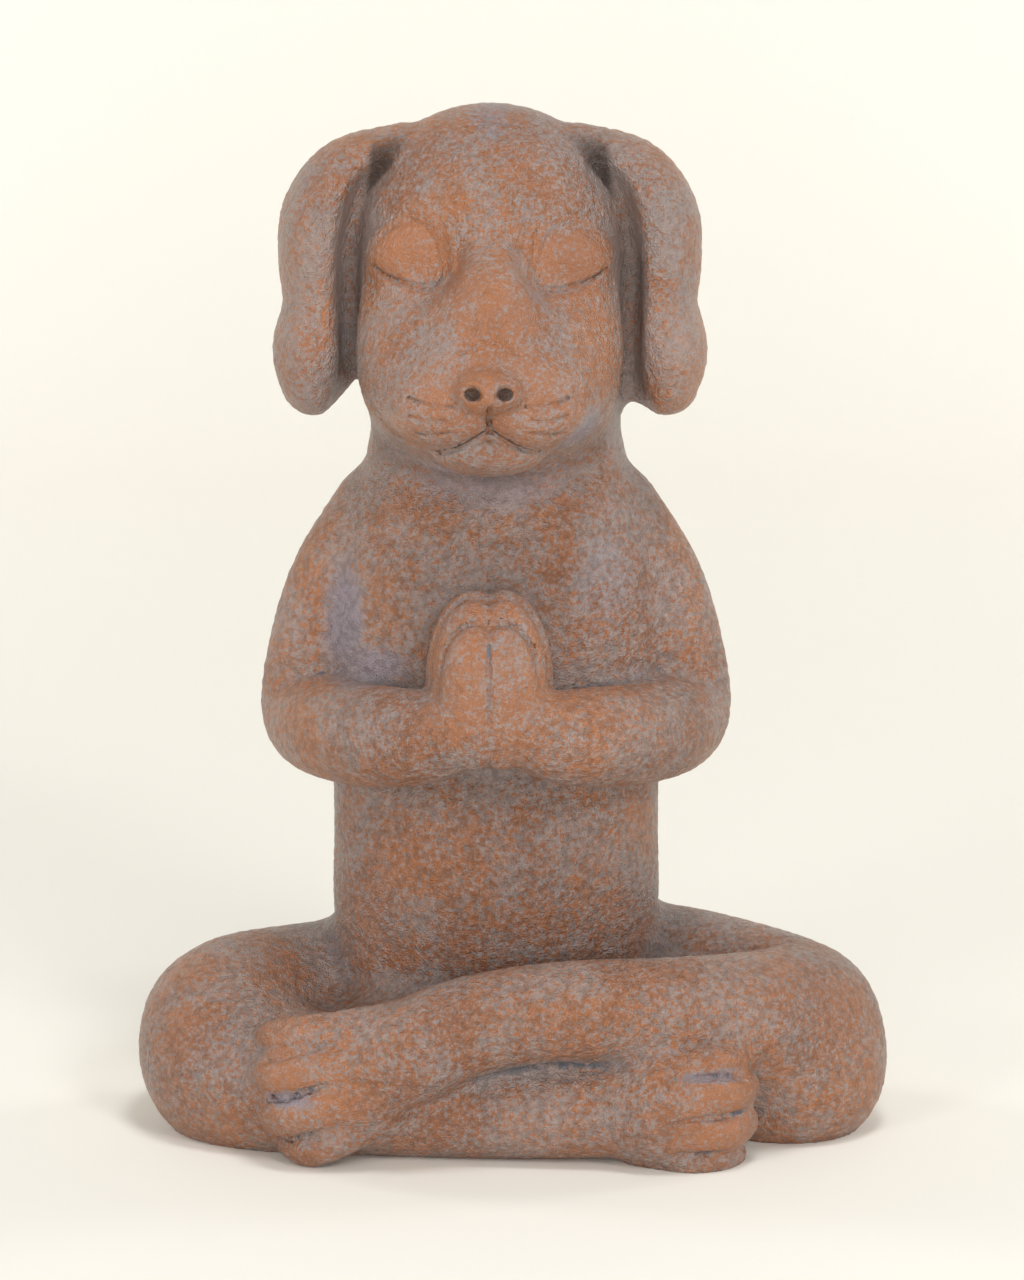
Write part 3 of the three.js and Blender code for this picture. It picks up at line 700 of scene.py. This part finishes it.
def paintedCastStone():
    material = bpy.data.materials.new("painted cast stone")
    material.use_nodes = True
    tree = material.node_tree
    surface = tree.nodes["Principled BSDF"]
    noise, span, maths, mix = ["ShaderNode" + kind for kind in ("TexNoise", "MapRange", "Math", "Mix")]
    multiply, multiplyAdd = {"operation": "MULTIPLY"}, {"operation": "MULTIPLY_ADD"}
    soften, colours = {"interpolation_type": "SMOOTHSTEP"}, {"data_type": "RGBA"}
    rust, umber, blueGrey, washBlue, shade, slate = [colour(paint[name]) for name in (
        "rust", "umber", "blueGrey", "washBlue", "shade", "slate")]
    place = addNode(tree, "ShaderNodeTexCoord", "Object")
    height = addNode(tree, "ShaderNodeSeparateXYZ", "Z", _0=place)
    felt = {name: addNode(tree, "ShaderNodeAttribute", "Fac", {"attribute_name": name})
            for name in ("crease", "hollow", "rubbedAndShaded", "furPit", "wash")}

    # specks of the first coat, in drifts, and more of them in hollows and washes
    crowd = addNode(tree, noise, Vector=place, Scale=1 / (paint["patch"] * mm), Detail=3, Roughness=0.6)
    crowd = addNode(tree, span, 0, soften, _0=crowd, _1=0.38, _2=0.62)
    bias = addNode(tree, maths, 0, multiply, _0=crowd, _1=0.08)
    for name, amount in paint["shows"].items():
        bias = addNode(tree, maths, 0, multiplyAdd, _0=felt[name], _1=amount, _2=bias)
    specks = addNode(tree, noise, Vector=place, Scale=1 / (paint["speck"] * mm), Detail=6, Roughness=0.75)
    specks = addNode(tree, maths, 0, {"operation": "ADD"}, _0=specks, _1=bias)
    specks = addNode(tree, span, 0, soften, _0=specks, _1=0.49, _2=0.64)
    specks = addNode(tree, maths, 0, multiply, _0=specks, _1=paint["firstCoat"])
    drift = addNode(tree, noise, Vector=place, Scale=1 / (paint["drift"] * mm), Detail=3)
    drift = addNode(tree, span, 0, soften, _0=drift, _1=0.35, _2=0.65)
    top = addNode(tree, mix, 2, colours, _0=drift, _6=umber, _7=rust)
    first = addNode(tree, mix, 2, colours, _0=felt["wash"], _6=blueGrey, _7=washBlue)
    coat = addNode(tree, mix, 2, colours, _0=specks, _6=top, _7=first)

    # painted shade between the pebbles, less of it on the head and on the worn-smooth face, paws and feet
    pebbles = addNode(tree, "ShaderNodeTexVoronoi", "Distance", {"feature": "SMOOTH_F1"}, Vector=place,
                      Scale=1 / (paint["pebble"] * mm))
    coarse = addNode(tree, maths, 0, multiplyAdd, _0=felt["rubbedAndShaded"], _1=-0.75, _2=1.0)
    smoother = addNode(tree, span, 0, soften, _0=height, _1=0.245, _2=0.275, _3=1.0, _4=0.5)
    coarse = addNode(tree, maths, 0, multiply, _0=coarse, _1=smoother)
    pebbleShade = addNode(tree, span, 0, soften, _0=pebbles, _1=0.30, _2=0.62, _4=0.26)
    pebbleShade = addNode(tree, maths, 0, multiply, _0=pebbleShade, _1=coarse)
    # painted shade in the pits between the fur dabs
    pitShade = addNode(tree, maths, 0, multiply, _0=felt["furPit"], _1=0.1)
    # painted shade over the worn-smooth face, paws and feet, making them darker
    rubbedShade = addNode(tree, maths, 0, multiply, _0=felt["rubbedAndShaded"], _1=0.22)
    for amount in (pebbleShade, pitShade, rubbedShade):
        coat = addNode(tree, mix, 2, colours, _0=amount, _6=coat, _7=shade)

    # painted shade in the carved lines, creases and nostrils; slate on the paws and feet, where it is partly
    # the blue-grey first coat lying in the grooves
    creaseShade = addNode(tree, span, 0, soften, _0=felt["crease"], _1=0.2, _2=0.55, _4=0.85)
    face = addNode(tree, span, 0, soften, _0=height, _1=paint["faceFrom"], _2=paint["faceFully"])
    creaseShadeColour = addNode(tree, mix, 2, colours, _0=face, _6=slate, _7=shade)
    coat = addNode(tree, mix, 2, colours, _0=creaseShade, _6=coat, _7=creaseShadeColour)

    grain = addNode(tree, noise, Vector=place, Scale=1 / (paint["grain"] * mm), Detail=2)
    grain = addNode(tree, maths, 0, multiplyAdd, _0=pebbles, _1=-0.8, _2=grain)
    calm = addNode(tree, maths, 0, multiplyAdd, _0=felt["rubbedAndShaded"], _1=-0.4, _2=1.0)
    bump = addNode(tree, "ShaderNodeBump", Strength=calm, Distance=paint["grainHeight"] * mm, Height=grain)
    tree.links.new(coat, surface.inputs["Base Color"])
    tree.links.new(bump, surface.inputs["Normal"])
    surface.inputs["Metallic"].default_value = paint["metallic"]
    surface.inputs["IOR"].default_value = paint["ior"]
    surface.inputs["Roughness"].default_value = paint["roughness"]
    return material


cast.data.materials.append(paintedCastStone())
print("paint: done")


# A sweep of cream backdrop paper, uncoated and matt, under soft studio light, seen a little from above
studio = {
    "cream": "FFFCF4",
    "floorSize": 12.0,
    "wallDistance": 2.2,
    "bend": 1.2,
    "height": 3.0,
    "target": (-0.0002, 0.017, 0.1926),
    "elevation": 9.0,
    "distance": 1.5,
    "lens": 103.25,
    "worldStrength": 0.32,
    "lights": {   # place, aim, size, watts
        "overhead": ((0.2, -0.5, 1.7), (0, 0, 0.15), (0.4, 0.4), 8),
        "key": ((0.9, -1.7, 1.3), (0, 0, 0.2), (0.45, 0.45), 11),
        "fill": ((-1.3, -1.8, 0.9), (0, 0, 0.2), (0.5, 0.5), 9),
        "front": ((0.1, -2.4, 0.4), (0, 0, 0.12), (0.8, 0.4), 17),
        "wall left": ((-2.6, 1.2, 1.3), (-0.3, 3.2, 0.7), (1.2, 1.6), 41),
        "wall right": ((2.6, 1.2, 1.3), (0.3, 3.2, 0.7), (1.2, 1.6), 41),
    },
}


def sweep():   # floor, a wide bend and the wall behind
    profile = [(-studio["floorSize"] / 2, 0.0)]
    for n in range(13):
        a = math.radians(90 * n / 12)
        profile.append((studio["wallDistance"] + studio["bend"] * math.sin(a),
                        studio["bend"] * (1 - math.cos(a))))
    profile.append((studio["wallDistance"] + studio["bend"], studio["height"]))
    half = studio["floorSize"] / 2
    points = [(x, y, z) for y, z in profile for x in (-half, half)]
    faces = [(2 * i, 2 * i + 1, 2 * i + 3, 2 * i + 2) for i in range(len(profile) - 1)]
    mesh = bpy.data.meshes.new("paperSweep")
    mesh.from_pydata(points, [], faces)
    mesh.shade_smooth()
    obj = bpy.data.objects.new("paperSweep", mesh)
    bpy.context.scene.collection.objects.link(obj)
    material = bpy.data.materials.new("cream paper")
    material.use_nodes = True
    surface = material.node_tree.nodes["Principled BSDF"]
    surface.inputs["Base Color"].default_value = colour(studio["cream"])
    surface.inputs["Roughness"].default_value = 0.9
    surface.inputs["Specular IOR Level"].default_value = 0.2
    mesh.materials.append(material)
    return obj


def softLight(name, place, aim, size, watts):
    data = bpy.data.lights.new(name, "AREA")
    data.shape = "RECTANGLE"
    data.size, data.size_y = size
    data.energy = watts
    obj = bpy.data.objects.new(name, data)
    obj.location = place
    obj.rotation_euler = (Vector(aim) - Vector(place)).to_track_quat("-Z", "Y").to_euler()
    bpy.context.scene.collection.objects.link(obj)


def backdropLight():
    world = bpy.data.worlds.new("studio")
    world.use_nodes = True
    background = world.node_tree.nodes["Background"]
    background.inputs["Color"].default_value = colour(studio["cream"])
    background.inputs["Strength"].default_value = studio["worldStrength"]
    bpy.context.scene.world = world


def camera():
    data = bpy.data.cameras.new("camera")
    data.lens = studio["lens"]
    data.sensor_width = 36
    obj = bpy.data.objects.new("camera", data)
    tilt = math.radians(studio["elevation"])
    target = Vector(studio["target"])
    obj.location = target + studio["distance"] * Vector((0, -math.cos(tilt), math.sin(tilt)))
    obj.rotation_euler = (math.radians(90) - tilt, 0, 0)
    bpy.context.scene.collection.objects.link(obj)
    bpy.context.scene.camera = obj


paper = sweep()
for lightName, values in studio["lights"].items():
    softLight(lightName, *values)
backdropLight()
bpy.context.scene.view_settings.view_transform = "Standard"
camera()
print("studio: done")
